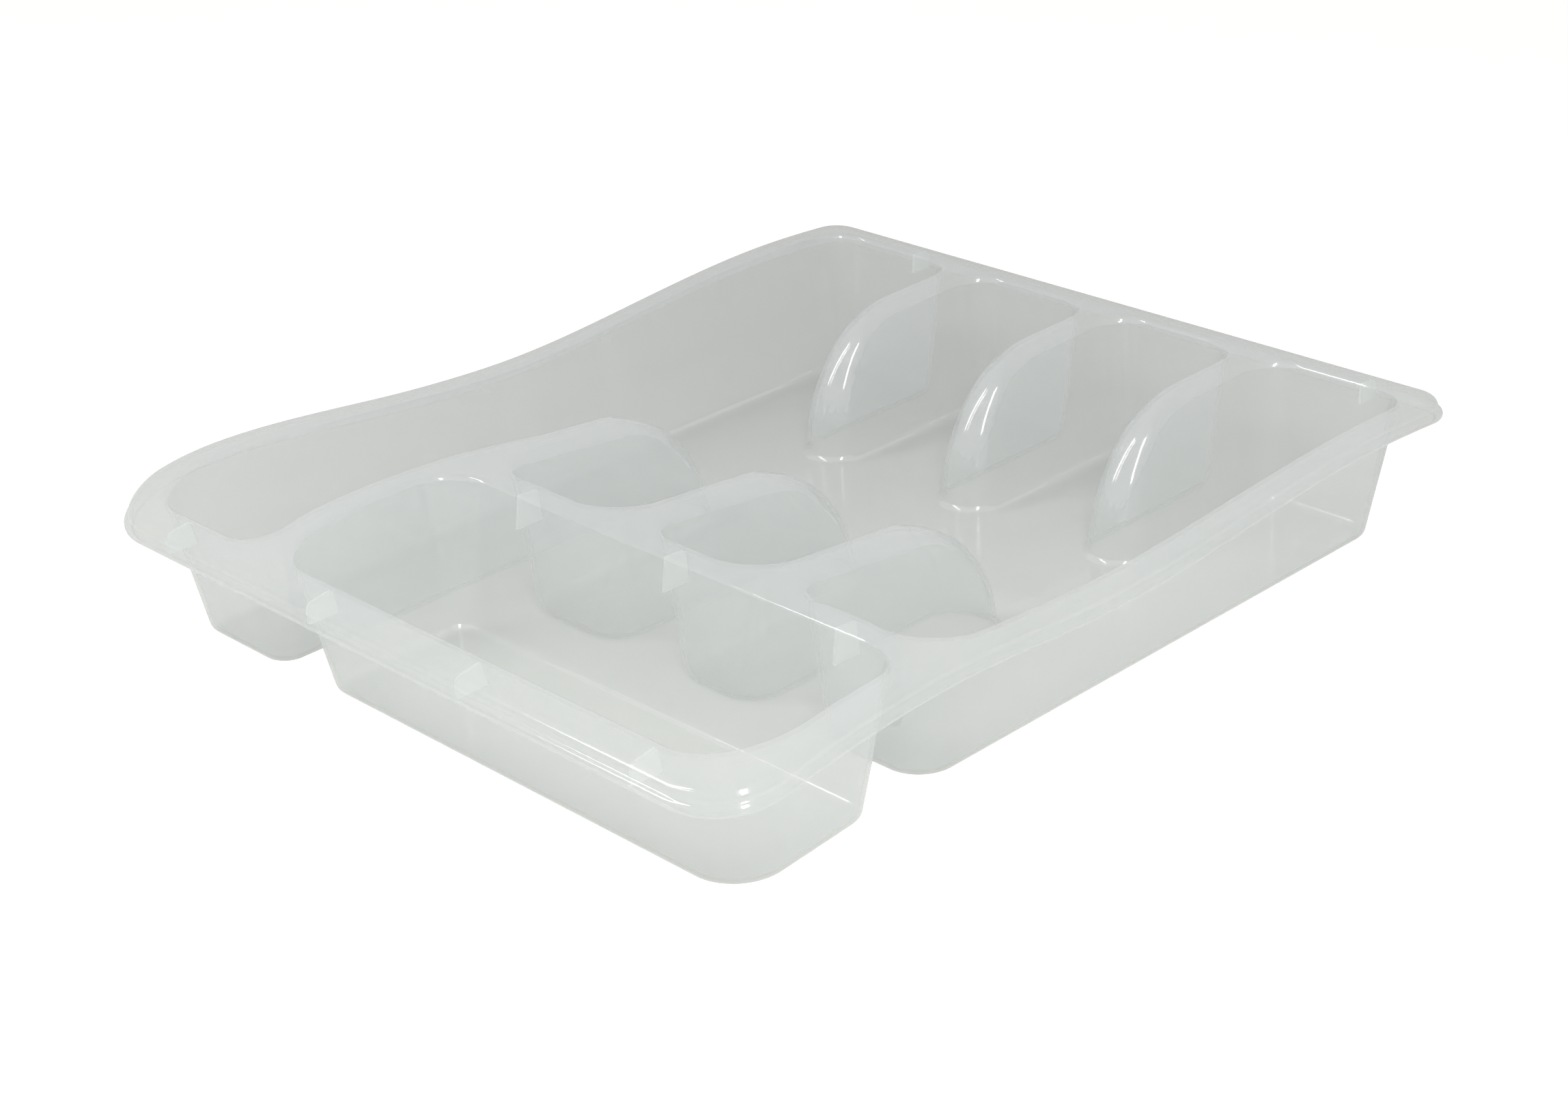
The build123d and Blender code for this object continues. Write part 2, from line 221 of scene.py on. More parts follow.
for x in BACK_FINS[::-1]:
    cells_outline += fin_corners(x, BACK_FOOT, BACK_LEAN, BACK_SHOULDER, BACK_RIDGE[-1][0],
                                 CELLS_BACK_Y, BACK_ROOT, CELLS_BACK_LEAN)
cells_outline += [wall_corner(-SIDE_X, CELLS_BACK_Y, CELL_CORNER, SIDE_LEAN),
                  wall_corner(-SIDE_X, SIDE_BEND_Y, SIDE_BEND, SIDE_LEAN)]
wide_outline = [wall_corner(WIDE_LEFT_X, WIDE_FRONT_Y, CELL_CORNER, WIDE_FRONT_LEAN),
                wall_corner(SIDE_FRONT_X, WIDE_FRONT_Y, WIDE_FRONT_CORNER, SIDE_LEAN),
                wall_corner(SIDE_X, WIDE_BACK_Y, CELL_CORNER, WIDE_BACK_LEAN),
                wall_corner(WIDE_LEFT_X, WIDE_BACK_Y, CELL_CORNER, WIDE_BACK_LEAN)]


def hollow_rows(path, nearest=0.02, farthest=14.0):
    """Rows of points and normals up a hollow's side: fillet, wall, rolled-over top.
    The wall meets the top between the nearest and the farthest distance from its foot."""
    base, out, slope, top = path[:, :2], path[:, 2:4], path[:, 4] / LEAN_OVER, path[:, 5]
    size = np.hypot(1, slope)

    def over(d):
        at = base + out * d[:, None]
        return top_height(at[:, 0], at[:, 1])

    low, high = np.full(len(path), nearest), np.full(len(path), farthest)
    for _ in range(HALVINGS):
        middle = (low + high) / 2
        under = SHEET + middle / slope < over(middle)
        low, high = np.where(under, middle, low), np.where(under, high, middle)

    # The crease is where the wall's line meets the top's, which is taken where the roll
    # between them ends. Each round brings that end nearer to its place.
    end = low + top * 0.8
    for _ in range(TOP_ROUNDS):
        grade = (over(end + NUDGE) - over(end - NUDGE)) / (2 * NUDGE)
        crease = (over(end) - grade * end - SHEET) / (1 / slope - grade)
        height = SHEET + crease / slope
        turn = np.maximum(np.arctan2(1, slope) - np.arctan(grade), 0.02)
        reach = top * np.tan(turn / 2)
        end = (crease + reach * np.cos(np.arctan(grade)) + end) / 2
    rows = []

    def row(d, z, nd, nz):
        rows.append((np.column_stack([base + out * d[:, None], z]),
                     np.column_stack([out * nd[:, None], nz])))

    foot_turn = np.arctan2(1, slope)
    foot = FOOT_FILLET * np.tan(foot_turn / 2)
    for share in np.linspace(0, 1, FOOT_ROWS):
        a = foot_turn * share
        row(FOOT_FILLET * np.sin(a) - foot, SHEET + FOOT_FILLET * (1 - np.cos(a)), -np.sin(a), np.cos(a))
    d0, z0 = foot * slope / size, SHEET + foot / size
    d1, z1 = crease - reach * slope / size, height - reach / size
    for share in WALL_ROWS:
        row(d0 + (d1 - d0) * share, z0 + (z1 - z0) * share, -1 / size, slope / size)
    centre_d, centre_z = d1 + top / size, z1 - top * slope / size
    for share in np.linspace(0, 1, TOP_ROWS):
        a = np.pi / 2 - foot_turn + turn * share
        row(centre_d - top * np.cos(a), centre_z + top * np.sin(a), -np.cos(a), np.sin(a))
    return rows


def rim_x(y):
    """Half the rim's width at a place along the side."""
    share = np.clip((y - FLARE_FROM) / (FLARE_TO - FLARE_FROM), 0, 1)
    return RIM_BACK + (RIM_FRONT - RIM_BACK) * share ** 2 * (3 - 2 * share)


def rim_path(on_end=55, on_side=76, on_flare=40, on_corner=19):
    """The rim's outline on its upright outer face, with its outward directions.
    The numbers are the points on each stretch of its right half."""
    near, far = RIM_CORNERS["front"], RIM_CORNERS["back"]
    back_x = np.linspace(0, RIM_BACK - far, on_end)[:-1]
    front_x = np.linspace(RIM_FRONT - near, 0, on_end)[1:]
    side_y = np.linspace(RIM_Y - far, FLARE_FROM, on_side)[1:]
    flare_y = np.linspace(FLARE_FROM, FLARE_TO, on_flare)[1:]
    turn = np.radians(np.linspace(0, 90, on_corner))
    right = np.vstack([
        np.column_stack([back_x, np.full(len(back_x), RIM_Y)]),
        np.column_stack([RIM_BACK - far + far * np.sin(turn), RIM_Y - far + far * np.cos(turn)]),
        np.column_stack([np.full(len(side_y), RIM_BACK), side_y]),
        np.column_stack([rim_x(flare_y), flare_y]),
        np.column_stack([RIM_FRONT - near + near * np.cos(turn), near - RIM_Y - near * np.sin(turn)])[1:],
        np.column_stack([front_x, np.full(len(front_x), -RIM_Y)])])
    left = right[1:-1][::-1] * (-1, 1)
    loop = np.vstack([right, left])[::-1]
    along = np.roll(loop, -1, 0) - np.roll(loop, 1, 0)
    along /= np.linalg.norm(along, axis=1)[:, None]
    return loop, np.column_stack([along[:, 1], -along[:, 0]])


def rim_rows(loop, out):
    """Rows from the deck's edge over the roll, down the upright face and round the bead."""
    shape = [(ROLL - ROLL * math.sin(a), ROLL - ROLL * math.cos(a), math.sin(a), math.cos(a))
             for a in np.radians(np.linspace(0, 90, ROLL_ROWS))]
    sunk = BEAD_RADIUS - BEAD_OUT
    open_angle = math.asin(sunk / BEAD_RADIUS)
    shape.append((0, DROP - 2 * BEAD_RADIUS * math.cos(open_angle), *GROOVE_FACES))
    for a in np.linspace(math.pi / 2 - open_angle, open_angle - math.pi / 2, BEAD_ROWS)[1:]:
        shape.append((sunk - BEAD_RADIUS * math.cos(a),
                      DROP - BEAD_RADIUS * (math.cos(open_angle) + math.sin(a)),
                      math.cos(a), math.sin(a)))
    upper, lower = [], []
    for i, (inset, drop, n_out, n_up) in enumerate(shape):
        at = loop - out * inset
        upper.append((np.column_stack([at, deck_height(at[:, 1]) - drop]),
                      np.column_stack([out * n_out, np.full(len(loop), n_up)])))
        if i < ROLL_ROWS:
            lower.append(upper[-1][0] - SHEET * upper[-1][1])
        else:
            at = loop - out * SHEET
            share = (i - ROLL_ROWS + 1) / BEAD_ROWS
            lower.append(np.column_stack([at, deck_height(at[:, 1]) - ROLL - (DROP - ROLL) * share]))
    return upper, lower


def inside(points, loop):
    """Which plan points lie inside a closed loop."""
    x, y = points[:, :1], points[:, 1:2]
    a, b = loop, np.roll(loop, -1, 0)
    crosses = (a[:, 1] > y) != (b[:, 1] > y)
    with np.errstate(divide="ignore", invalid="ignore"):
        where = a[:, 0] + (y - a[:, 1]) * (b[:, 0] - a[:, 0]) / (b[:, 1] - a[:, 1])
    return (crosses & (x < where)).sum(1) % 2 == 1


def fill(outer, holes, spare, same_point=1e-5, least_area=1e-4):
    """Triangles over what lies inside outer and outside the holes. Their corners count
    through outer, the holes and the spare points, in that order."""
    loops = [outer, *holes]
    points = np.vstack([*loops, spare])
    edges, first = [], 0
    for loop in loops:
        count = len(loop)
        edges += [(first + i, first + (i + 1) % count) for i in range(count)]
        first += count
    _, _, faces, back, _, _ = geometry.delaunay_2d_cdt(
        [Vector(p) for p in points.tolist()], edges, [], 0, same_point)
    number = [ids[0] for ids in back]
    faces = np.array([[number[i] for i in face] for face in faces])
    a, b, c = points[faces].transpose(1, 0, 2)
    keep = inside((a + b + c) / 3, outer) & (np.abs(np.cross(b - a, c - a)) > least_area)
    for hole in holes:
        keep &= ~inside((a + b + c) / 3, hole)
    return faces[keep]


cells, wide = hollow_rows(trace(cells_outline)), hollow_rows(trace(wide_outline))
rim_upper, rim_lower = rim_rows(*rim_path())
points, normals, faces, starts = [], [], [], []


def add_rows(rows):
    """Keeps rows of points, and joins each to the next with faces all the way round."""
    first = sum(map(len, points))
    count = len(rows[0][0])
    for i, (at, normal) in enumerate(rows):
        points.append(at)
        normals.append(normal / np.linalg.norm(normal, axis=1)[:, None])
        here = first + i * count
        if i + 1 < len(rows):
            j = np.arange(count)
            k = (j + 1) % count
            faces.extend(np.column_stack([here + j, here + count + j, here + count + k, here + k]).tolist())
    starts.append((first, first + (len(rows) - 1) * count, count))


for rows in (cells, wide, rim_upper):
    add_rows(rows)
for rows, (first, _, count) in zip((cells, wide), starts):
    floor = fill(rows[0][0][:, :2], [], np.empty((0, 2)))
    faces.extend((floor + first).tolist())
edges_up = [rows[-1][0][:, :2] for rows in (cells, wide)]
deck_edge = rim_upper[0][0][:, :2]


def spaced(spots, gap):
    """Those of the spots that keep a gap from the edges of the deck."""
    near = np.array([[np.hypot(*(loop - p).T).min() for loop in (deck_edge, *edges_up)] for p in spots])
    return spots[near.min(1) > gap]


# Points on the flat deck, wide apart, and on the fins' tops, close together.
DECK_X, DECK_Y, DECK_STEP, DECK_GAP = (-168, 170), (-187, 190), 5.0, 2.5
FIN_HALF, FRONT_REACH, BACK_REACH, FIN_STEP, FIN_GAP = 12.0, (-40, 24), (86, 150), 1.5, 0.7
FINS_HALF_Y = 95.0
grid = np.array([(x, y) for y in np.arange(*DECK_Y, DECK_STEP) for x in np.arange(*DECK_X, DECK_STEP)])
room = inside(grid, deck_edge)
for loop in edges_up:
    room &= ~inside(grid, loop)
room &= (np.abs(grid[:, 1] - FINS_MIDDLE_Y) > FINS_HALF_Y) | (np.abs(grid[:, 0]) > FINS_SIDE_X)
on_fins = np.array([(x + dx, y) for fins, reach in ((FRONT_FINS, FRONT_REACH), (BACK_FINS, BACK_REACH))
                    for x in fins for dx in np.arange(-FIN_HALF, FIN_HALF + 0.1, FIN_STEP)
                    for y in np.arange(*reach, FIN_STEP)])
on_fins = on_fins[~inside(on_fins, edges_up[0])]
grid = np.vstack([spaced(grid[room], DECK_GAP), spaced(on_fins, FIN_GAP)])
deck = fill(deck_edge, edges_up, grid)
first_spare = sum(map(len, points))
slopes = [(top_height(*(grid + step).T) - top_height(*(grid - step).T)) / (2 * NUDGE)
          for step in ((NUDGE, 0), (0, NUDGE))]
lift = np.column_stack([-slopes[0], -slopes[1], np.ones(len(grid))])
points.append(np.column_stack([grid, top_height(grid[:, 0], grid[:, 1])]))
normals.append(lift / np.linalg.norm(lift, axis=1)[:, None])
(_, cells_top, cells_count), (_, wide_top, wide_count), (rim_first, rim_last, rim_count) = starts
number = np.concatenate([rim_first + np.arange(rim_count), cells_top + np.arange(cells_count),
                         wide_top + np.arange(wide_count), first_spare + np.arange(len(grid))])
faces.extend(number[deck].tolist())

# The under face lies one sheet below the upper one, and the lip under the bead joins them.
upper, upper_normals = np.vstack(points), np.vstack(normals)
lower = upper - SHEET * upper_normals
for i, row in enumerate(rim_lower):
    here = rim_first + i * rim_count
    lower[here:here + rim_count] = row
total = len(upper)
ring = np.arange(rim_count)
onward = np.roll(ring, -1)
lip = np.column_stack([rim_last + ring, total + rim_last + ring,
                       total + rim_last + onward, rim_last + onward])
faces = faces + [[total + i for i in face[::-1]] for face in faces] + lip.tolist()
moulding = bpy.data.meshes.new("tray_moulding")
moulding.from_pydata((np.vstack([upper, lower]) * MM).tolist(), [], faces)
moulding.polygons.foreach_set("use_smooth", [True] * len(moulding.polygons))
bead_first = rim_first + ROLL_ROWS * rim_count
bead_size = BEAD_ROWS * rim_count
lower_normals = -upper_normals
last_roll_row = lower_normals[bead_first - rim_count:bead_first]
lower_normals[bead_first:bead_first + bead_size] = np.tile(last_roll_row, (BEAD_ROWS, 1))
moulding.normals_split_custom_set_from_vertices(np.vstack([upper_normals, lower_normals]).tolist())
bead_share = np.zeros(2 * total)
for here in (bead_first, total + bead_first):
    bead_share[here:here + bead_size] = 1
moulding.attributes.new("bead", "FLOAT", "POINT").data.foreach_set("value", bead_share)
tray = bpy.data.objects.new("tray_moulding", moulding)
bpy.context.scene.collection.objects.link(tray)


class Wire:
    """One socket of a material, so that shader maths reads as plain arithmetic."""

    def __init__(self, nodes, socket):
        self.nodes, self.socket = nodes, socket

    def math(self, operation, *values):
        return self.nodes.add("ShaderNodeMath", {"operation": operation}, dict(enumerate(values)))

    def __add__(self, other):
        return self.math("ADD", self, other)

    def __sub__(self, other):
        return self.math("SUBTRACT", self, other)

    def __rsub__(self, other):
        return self.math("SUBTRACT", other, self)

    def __mul__(self, other):
        return self.math("MULTIPLY", self, other)

    def __pow__(self, other):
        return self.math("POWER", self, other)

    __radd__, __rmul__ = __add__, __mul__


class Finish:
    """A material under construction. add puts in one node and gives its first output."""

    def __init__(self, name, world=False):
        self.owner = bpy.data.worlds.new(name) if world else bpy.data.materials.new(name)
        self.owner.use_nodes = True
        self.tree = self.owner.node_tree
        self.tree.nodes.clear()

    def add(self, kind, settings=None, sockets=None, output=0):
        """Sockets go by name, and by number where a node has several of one name."""
        node = self.tree.nodes.new(kind)
        for name, value in (settings or {}).items():
            setattr(node, name, value)
        for name, value in (sockets or {}).items():
            if isinstance(value, Wire):
                self.tree.links.new(value.socket, node.inputs[name])
            else:
                node.inputs[name].default_value = value
        return Wire(self, node.outputs[output] if node.outputs else None)

    def noise(self, at, scale, detail=2.0):
        """Soft random clouds, scale of them to the metre."""
        return self.add("ShaderNodeTexNoise", None, {"Vector": at, "Scale": scale, "Detail": detail})

    def blend(self, share, first, second):
        """A colour between two others."""
        return self.add("ShaderNodeMix", {"data_type": "RGBA"}, {0: share, 6: first, 7: second}, output=2)

    def mix(self, share, first, second):
        """A shader between two others."""
        return self.add("ShaderNodeMixShader", None, {0: share, 1: first, 2: second})


CLOUDS, RIPPLES, RIPPLE_DEPTH = 28.0, 120.0, 0.05    # to the metre, and the bump's strength
CLOUDING, BEAD_COVER = 0.06, 0.05                    # what clouds and the thick bead add to the cover
SHEEN, EDGE_SHEEN, EDGE_POWER = 0.052, 0.15, 5       # face-on, edge-on, and how late it comes
SCATTERED_ON = 0.5                                   # share of the milk's light that goes on through


def milky_plastic(name, clear, dense, pale, tint):
    """Natural polypropylene: see-through but cloudy, glossy, and denser where it is seen
    edge-on. clear is how much it covers face-on, and dense how much more edge-on."""
    finish = Finish(name)
    at = finish.add("ShaderNodeTexCoord", output=3)
    cloud = finish.noise(at, CLOUDS, 3.0)
    ripple = finish.noise(at, RIPPLES)
    facing = finish.add("ShaderNodeLayerWeight", None, {"Blend": 0.5}, output=1)
    bead = finish.add("ShaderNodeAttribute", {"attribute_name": "bead"}, output=2)
    edge_on = facing ** EDGE_POWER
    cover = clear + (cloud - 0.5) * CLOUDING + edge_on * dense + bead * BEAD_COVER
    bump = finish.add("ShaderNodeBump", None, {
        "Height": ripple, "Strength": RIPPLE_DEPTH, "Distance": MM})
    body = finish.add("ShaderNodeBsdfPrincipled", None, {
        "Base Color": finish.blend(cloud, pale, tint), "Roughness": 0.28, "Normal": bump, "IOR": 1.49,
        "Specular IOR Level": 0.25, "Coat Weight": 0.25, "Coat Roughness": 0.06})
    through = finish.add("ShaderNodeBsdfTranslucent", None, {"Color": pale, "Normal": bump})
    see = finish.add("ShaderNodeBsdfTransparent")
    seen = finish.mix(cover, see, finish.mix(SCATTERED_ON, body, through))
    gloss = finish.add("ShaderNodeBsdfGlossy", None, {
        "Color": (1, 1, 1, 1), "Roughness": 0.11, "Normal": bump})
    surface = finish.mix(SHEEN + edge_on * EDGE_SHEEN, seen, gloss)
    finish.add("ShaderNodeOutputMaterial", None, {"Surface": surface})
    return finish.owner


TRAY_PALE, TRAY_TINT = (0.84, 0.87, 0.865, 1), (0.8, 0.83, 0.825, 1)
moulding.materials.append(milky_plastic("milky_polypropylene", 0.21, 0.3, TRAY_PALE, TRAY_TINT))
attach(tray, "root")
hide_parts(*[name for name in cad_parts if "ribs" not in name])


# The ribs: thin upright webs of polypropylene under the rim and inside the hollow cross divider.
# They are moulded with the tray and keep the deck from sagging. Each is a flat plate cut to the
# channel's section, repeated along the channel and set to the deck's wave.

RIB_THICK, RIB_DEEP = 1.2, 14.0
FRONT_RIBS_X, BACK_RIBS_X = (-129.0, -42.5, 39.4, 125.0), (-105.0, 129.0)
SIDE_RIBS_Y, DIVIDER_RIBS_X = (-19.0, 46.0), (-43.5, 36.0, 119.0)
DIVIDER_Y = -88.5
RIM_SECTION_X, DIVIDER_SECTION_X = 130.0, -40.0    # where the channels' sections are taken


def under_side(base, out, lean, top, axis):
    """The lower face of one wall and its deck, in a plane across it, from low to high."""
    sample = np.array([[*base, *out, lean, top]])
    rows = hollow_rows(sample)[FOOT_ROWS:]
    at = np.vstack([p - SHEET * n for p, n in rows])
    return at[:, [axis, 2]]


def rim_inside(place, axis, sign):
    """The rim's inner face in the same plane, from its roll down to the bead's foot."""
    loop = np.array([[place, sign * RIM_Y]] if axis == 1 else [[sign * rim_x(place), place]])
    out = np.array([[0.0, sign]] if axis == 1 else [[sign * 1.0, 0.0]])
    _, rows = rim_rows(loop, out)
    at = np.vstack(rows)
    return at[:, [axis, 2]]


def plate_outline(wall_line, other_line, level, origin, least_rise=0.05):
    """Closed outline of a plate between two faces of the channel, above a level."""
    side = []
    for line in (wall_line, other_line):
        low = np.interp(level, line[:, 1], line[:, 0])
        side.append(np.vstack([(low, level), line[line[:, 1] > level + least_rise]]))
    return np.vstack([side[0], side[1][::-1]]) - origin


def rib_tree(name):
    """Nodes that thicken the outline into a plate and set one on each given point."""
    tree = bpy.data.node_groups.new(name, "GeometryNodeTree")
    for label, kind in (("Points", "Geometry"), ("Outline", "Object"), ("Thickness", "Float"),
                        ("Turn", "Vector"), ("Plastic", "Material")):
        tree.interface.new_socket(label, in_out="INPUT", socket_type="NodeSocket" + kind)
    tree.interface.new_socket("Ribs", in_out="OUTPUT", socket_type="NodeSocketGeometry")
    link = tree.links.new
    given, result = tree.nodes.new("NodeGroupInput"), tree.nodes.new("NodeGroupOutput")

    def node(kind):
        return tree.nodes.new("GeometryNode" + kind)

    shape, curve, face = node("ObjectInfo"), node("MeshToCurve"), node("FillCurve")
    back, plate, both = node("FlipFaces"), node("ExtrudeMesh"), node("JoinGeometry")
    weld = node("MergeByDistance")
    placed, real, paint = node("InstanceOnPoints"), node("RealizeInstances"), node("SetMaterial")
    offset = tree.nodes.new("ShaderNodeCombineXYZ")
    face.mode = "NGONS"
    plate.inputs["Individual"].default_value = False
    weld.inputs["Distance"].default_value = 1e-6
    link(given.outputs["Outline"], shape.inputs["Object"])
    link(shape.outputs["Geometry"], curve.inputs["Mesh"])
    link(curve.outputs["Curve"], face.inputs["Curve"])
    link(face.outputs["Mesh"], back.inputs["Mesh"])
    link(face.outputs["Mesh"], plate.inputs["Mesh"])
    link(given.outputs["Thickness"], offset.inputs["Z"])
    link(offset.outputs["Vector"], plate.inputs["Offset"])
    link(back.outputs["Mesh"], both.inputs[0])
    link(plate.outputs["Mesh"], both.inputs[0])
    link(both.outputs[0], weld.inputs["Geometry"])
    link(given.outputs["Points"], placed.inputs["Points"])
    link(weld.outputs["Geometry"], placed.inputs["Instance"])
    link(given.outputs["Turn"], placed.inputs["Rotation"])
    link(placed.outputs["Instances"], real.inputs["Geometry"])
    link(real.outputs["Geometry"], paint.inputs["Geometry"])
    link(given.outputs["Plastic"], paint.inputs["Material"])
    link(paint.outputs["Geometry"], result.inputs["Ribs"])
    return tree


# The ribs under the side rims can hardly be made out, so theirs is the clearest plastic.
# The other ribs get a paler, denser copy of the tray's plastic. This is painted light: it makes them show
# brighter than the sheet around them, as if they caught more light.
RIB_PAINTED_LIGHT_PALE, RIB_PAINTED_LIGHT_TINT = (0.95, 0.97, 0.96, 1), (0.92, 0.94, 0.93, 1)
painted_light_rib_plastic = milky_plastic("rib_polypropylene_painted_light", 0.6, 0.4, RIB_PAINTED_LIGHT_PALE, RIB_PAINTED_LIGHT_TINT)
faint_plastic = milky_plastic("faint_polypropylene", 0.1, 0.2, TRAY_PALE, TRAY_TINT)
rib_nodes = rib_tree("rib_row")


def rib_row(node, outline, places, turn, plastic=painted_light_rib_plastic):
    """One row of ribs as a plain mesh, standing for a CAD node."""
    name = node + "_moulded"
    count = len(outline)
    shape = bpy.data.meshes.new(name + "_outline")
    shape.from_pydata([(x * MM, y * MM, 0) for x, y in outline.tolist()],
                      [(i, (i + 1) % count) for i in range(count)], [])
    pattern = bpy.data.objects.new(name + "_outline", shape)
    dots = bpy.data.meshes.new(name)
    dots.from_pydata([[c * MM for c in place] for place in places], [], [])
    row = bpy.data.objects.new(name, dots)
    for obj in (pattern, row):
        bpy.context.scene.collection.objects.link(obj)
    grow = row.modifiers.new("ribs", "NODES")
    grow.node_group = rib_nodes
    inputs = {item.name: item.identifier for item in rib_nodes.interface.items_tree if item.in_out == "INPUT"}
    grow[inputs["Outline"]] = pattern
    grow[inputs["Thickness"]] = RIB_THICK * MM
    grow[inputs["Turn"]] = turn
    grow[inputs["Plastic"]] = plastic
    bpy.context.view_layer.update()
    made = bpy.data.meshes.new_from_object(row.evaluated_get(bpy.context.evaluated_depsgraph_get()))
    row.modifiers.clear()
    row.data = made
    made.name = name
    bpy.data.objects.remove(pattern)
    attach(row, "root")
    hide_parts(node)


def level_at(y, drop):
    """A height that lies a drop below the deck."""
    return float(deck_height(y)) - drop


upright, sideways = (math.pi / 2, 0, math.pi / 2), (math.pi / 2, 0, 0)
for name, base_y, lean, xs in (("rim_ribs_front", WIDE_FRONT_Y, WIDE_FRONT_LEAN, FRONT_RIBS_X),
                               ("rim_ribs_back", CELLS_BACK_Y, CELLS_BACK_LEAN, BACK_RIBS_X)):
    sign = math.copysign(1, base_y)
    wall_line = under_side((-RIM_SECTION_X * sign, base_y), (0, sign), lean, TOP_RADIUS, 1)
    outline = plate_outline(wall_line, rim_inside(0, 1, sign)[::-1], level_at(sign * RIM_Y, DROP), (0, 0))
    rib_row(name, outline, [(x - RIB_THICK / 2, 0, 0) for x in xs], upright)
for name, sign in (("rim_ribs_left", -1), ("rim_ribs_right", 1)):
    wall_line = under_side((sign * SIDE_X, 0.0), (sign, 0), SIDE_LEAN, TOP_RADIUS, 0)
    outline = plate_outline(wall_line, rim_inside(0.0, 0, sign)[::-1], level_at(0, DROP), (0, level_at(0, 0)))
    places = [(0, y + RIB_THICK / 2, level_at(y, 0)) for y in SIDE_RIBS_Y]
    rib_row(name, outline, places, sideways, faint_plastic)
cell_side = under_side((DIVIDER_SECTION_X, CELLS_FRONT_Y), (0, -1), CELLS_FRONT_LEAN, TOP_RADIUS, 1)
wide_side = under_side((DIVIDER_SECTION_X, WIDE_BACK_Y), (0, 1), WIDE_BACK_LEAN, TOP_RADIUS, 1)
outline = plate_outline(cell_side, wide_side, level_at(DIVIDER_Y, RIB_DEEP), (0, 0))
rib_row("divider_ribs", outline, [(x - RIB_THICK / 2, 0, 0) for x in DIVIDER_RIBS_X], upright)


# The studio: a sheet of matt paper under an even pale surround, and two tall soft boxes.
# Bare paper and surround show white, while behind the plastic the paper shows its own grey,
# with painted shade that makes it a little darker towards the far left.

PAPER_HALF, PAPER_DROP = 6.0, 0.0002    # in metres, the drop keeping it clear of the underside
PAPER_NEAR, PAPER_FAR_PAINTED_SHADE = (0.78, 0.78, 0.745, 1), (0.52, 0.52, 0.5, 1)
PAPER_SHADE_SPAN = (-0.25, 0.5)             # y - x in metres where the painted shade starts and stops deepening
PAPER_FLECKS, FLECK_SHARE, PAPER_GLOW = 40.0, 0.05, 0.6
SURROUND, SURROUND_TURN = 0.66, 0.1     # its strength, and how much more comes from the front right
LAMP_AWAY, LAMP_WIDE, LAMP_TALL = 1.25, 0.12, 0.8
LAMPS = (("left_softbox", -38, 44, 3.8), ("right_softbox", 55, 42, 5.4))    # degrees, and watts


def background_rays(finish):
    """1 for rays that show the bare background, and 0 behind the milky plastic. Light that
    the plastic scatters on counts as transmitted and as diffuse, so it is taken out."""
    outputs = finish.add("ShaderNodeLightPath").socket.node.outputs
    straight, mirrored, clear, scattered, depth = (Wire(finish, outputs[name]) for name in (
        "Is Camera Ray", "Is Glossy Ray", "Is Transmission Ray", "Is Diffuse Ray", "Transparent Depth"))
    any_ray = straight + mirrored + clear
    return any_ray.math("MINIMUM", any_ray, 1.0) * (1 - scattered) * depth.math("LESS_THAN", depth, 0.5)


paper = Finish("studio_paper")
place = paper.add("ShaderNodeTexCoord", output=3)
fleck = paper.noise(place, PAPER_FLECKS)
sides = paper.add("ShaderNodeSeparateXYZ", None, {0: place}).socket.node.outputs
away = Wire(paper, sides["Y"]) - Wire(paper, sides["X"]) + (fleck - 0.5) * FLECK_SHARE
# Painted shade: the paper's colour darkens from near to far as y - x grows, a little flecked.
painted_shade = paper.add("ShaderNodeMapRange", {"interpolation_type": "SMOOTHSTEP"},
                   {0: away, 1: PAPER_SHADE_SPAN[0], 2: PAPER_SHADE_SPAN[1]})
matt = paper.add("ShaderNodeBsdfPrincipled", None, {
    "Roughness": 1.0, "Specular IOR Level": 0.0, "Base Color": paper.blend(painted_shade, PAPER_NEAR, PAPER_FAR_PAINTED_SHADE)})
glow = paper.add("ShaderNodeEmission", None, {
    "Color": (1, 1, 1, 1), "Strength": background_rays(paper) * PAPER_GLOW})
both = paper.add("ShaderNodeAddShader", None, {0: matt, 1: glow})
paper.add("ShaderNodeOutputMaterial", None, {"Surface": both})
paper.owner.cycles.emission_sampling = "NONE"
floor_mesh = bpy.data.meshes.new("studio_floor")
floor_mesh.from_pydata([(x * PAPER_HALF, y * PAPER_HALF, -PAPER_DROP)
                        for x, y in ((-1, -1), (1, -1), (1, 1), (-1, 1))], [], [(0, 1, 2, 3)])
floor_mesh.materials.append(paper.owner)
studio_floor = bpy.data.objects.new("studio_floor", floor_mesh)
bpy.context.scene.collection.objects.link(studio_floor)

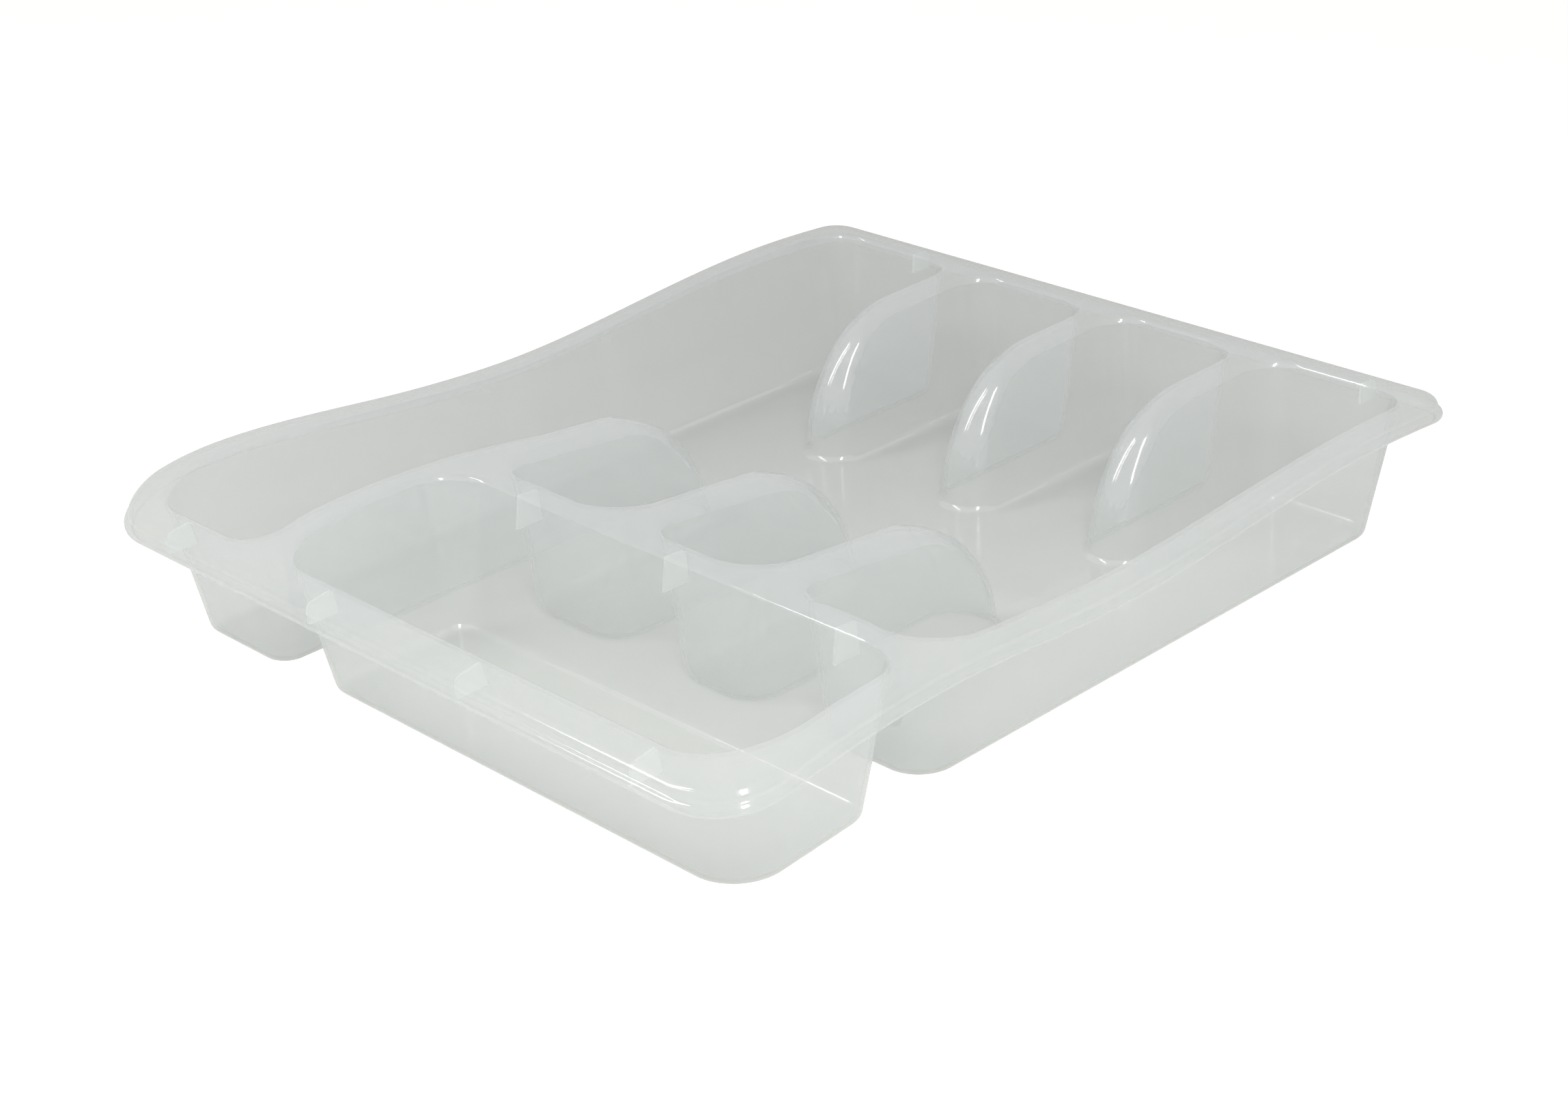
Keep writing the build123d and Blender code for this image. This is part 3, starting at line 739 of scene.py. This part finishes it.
surround = Finish("studio_surround", world=True)
direction = surround.add("ShaderNodeTexCoord")
toward = surround.add("ShaderNodeSeparateXYZ", None, {0: direction}).socket.node.outputs
fill_light = SURROUND + (Wire(surround, toward["X"]) - Wire(surround, toward["Y"])) * SURROUND_TURN
sky = surround.add("ShaderNodeBackground", None, {
    "Color": (1, 1, 1, 1), "Strength": fill_light + background_rays(surround) * (1 - fill_light)})
surround.add("ShaderNodeOutputWorld", None, {"Surface": sky})
bpy.context.scene.world = surround.owner

for name, azimuth, height, power in LAMPS:
    lamp = bpy.data.lights.new(name, "AREA")
    lamp.shape, lamp.size, lamp.size_y, lamp.energy = "RECTANGLE", LAMP_WIDE, LAMP_TALL, power
    turn, tilt = math.radians(azimuth), math.radians(height)
    way = Vector((math.sin(turn) * math.cos(tilt), -math.cos(turn) * math.cos(tilt), math.sin(tilt)))
    light = bpy.data.objects.new(name, lamp)
    light.location = way * LAMP_AWAY
    light.rotation_euler = (-light.location).to_track_quat("-Z", "Y").to_euler()
    bpy.context.scene.collection.objects.link(light)


# The camera: the photograph's standpoint, in front of the tray, to its right and a little above.
# Its place, direction and focal length were solved from the photograph's vanishing lines and
# the tray's outline. Angles are in degrees, and lengths in metres.

PHOTO_WIDTH, FOCAL_PIXELS = 2296, 4228.49
CAMERA_AT = (0.7198, -0.6683, 0.4866)
CAMERA_AZIMUTH, CAMERA_TILT, CAMERA_ROLL = -47.306, 25.765, -3.439

azimuth, tilt, roll = (math.radians(a) for a in (CAMERA_AZIMUTH, CAMERA_TILT, CAMERA_ROLL))
forward = Vector((math.sin(azimuth) * math.cos(tilt), math.cos(azimuth) * math.cos(tilt), -math.sin(tilt)))
level = Vector((math.cos(azimuth), -math.sin(azimuth), 0))
upward = level.cross(forward)
across = level * math.cos(roll) + upward * math.sin(roll)
upward = upward * math.cos(roll) - level * math.sin(roll)
camera = bpy.data.objects.new("camera", bpy.data.cameras.new("camera"))
camera.data.lens = FOCAL_PIXELS / PHOTO_WIDTH * camera.data.sensor_width
camera.matrix_world = Matrix.Translation(CAMERA_AT) @ Matrix((across, upward, -forward)).transposed().to_4x4()
bpy.context.scene.collection.objects.link(camera)
bpy.context.scene.camera = camera
bpy.context.scene.view_settings.view_transform = "Standard"
bpy.context.scene.cycles.transparent_max_bounces = 32    # the sheets that one look can pass
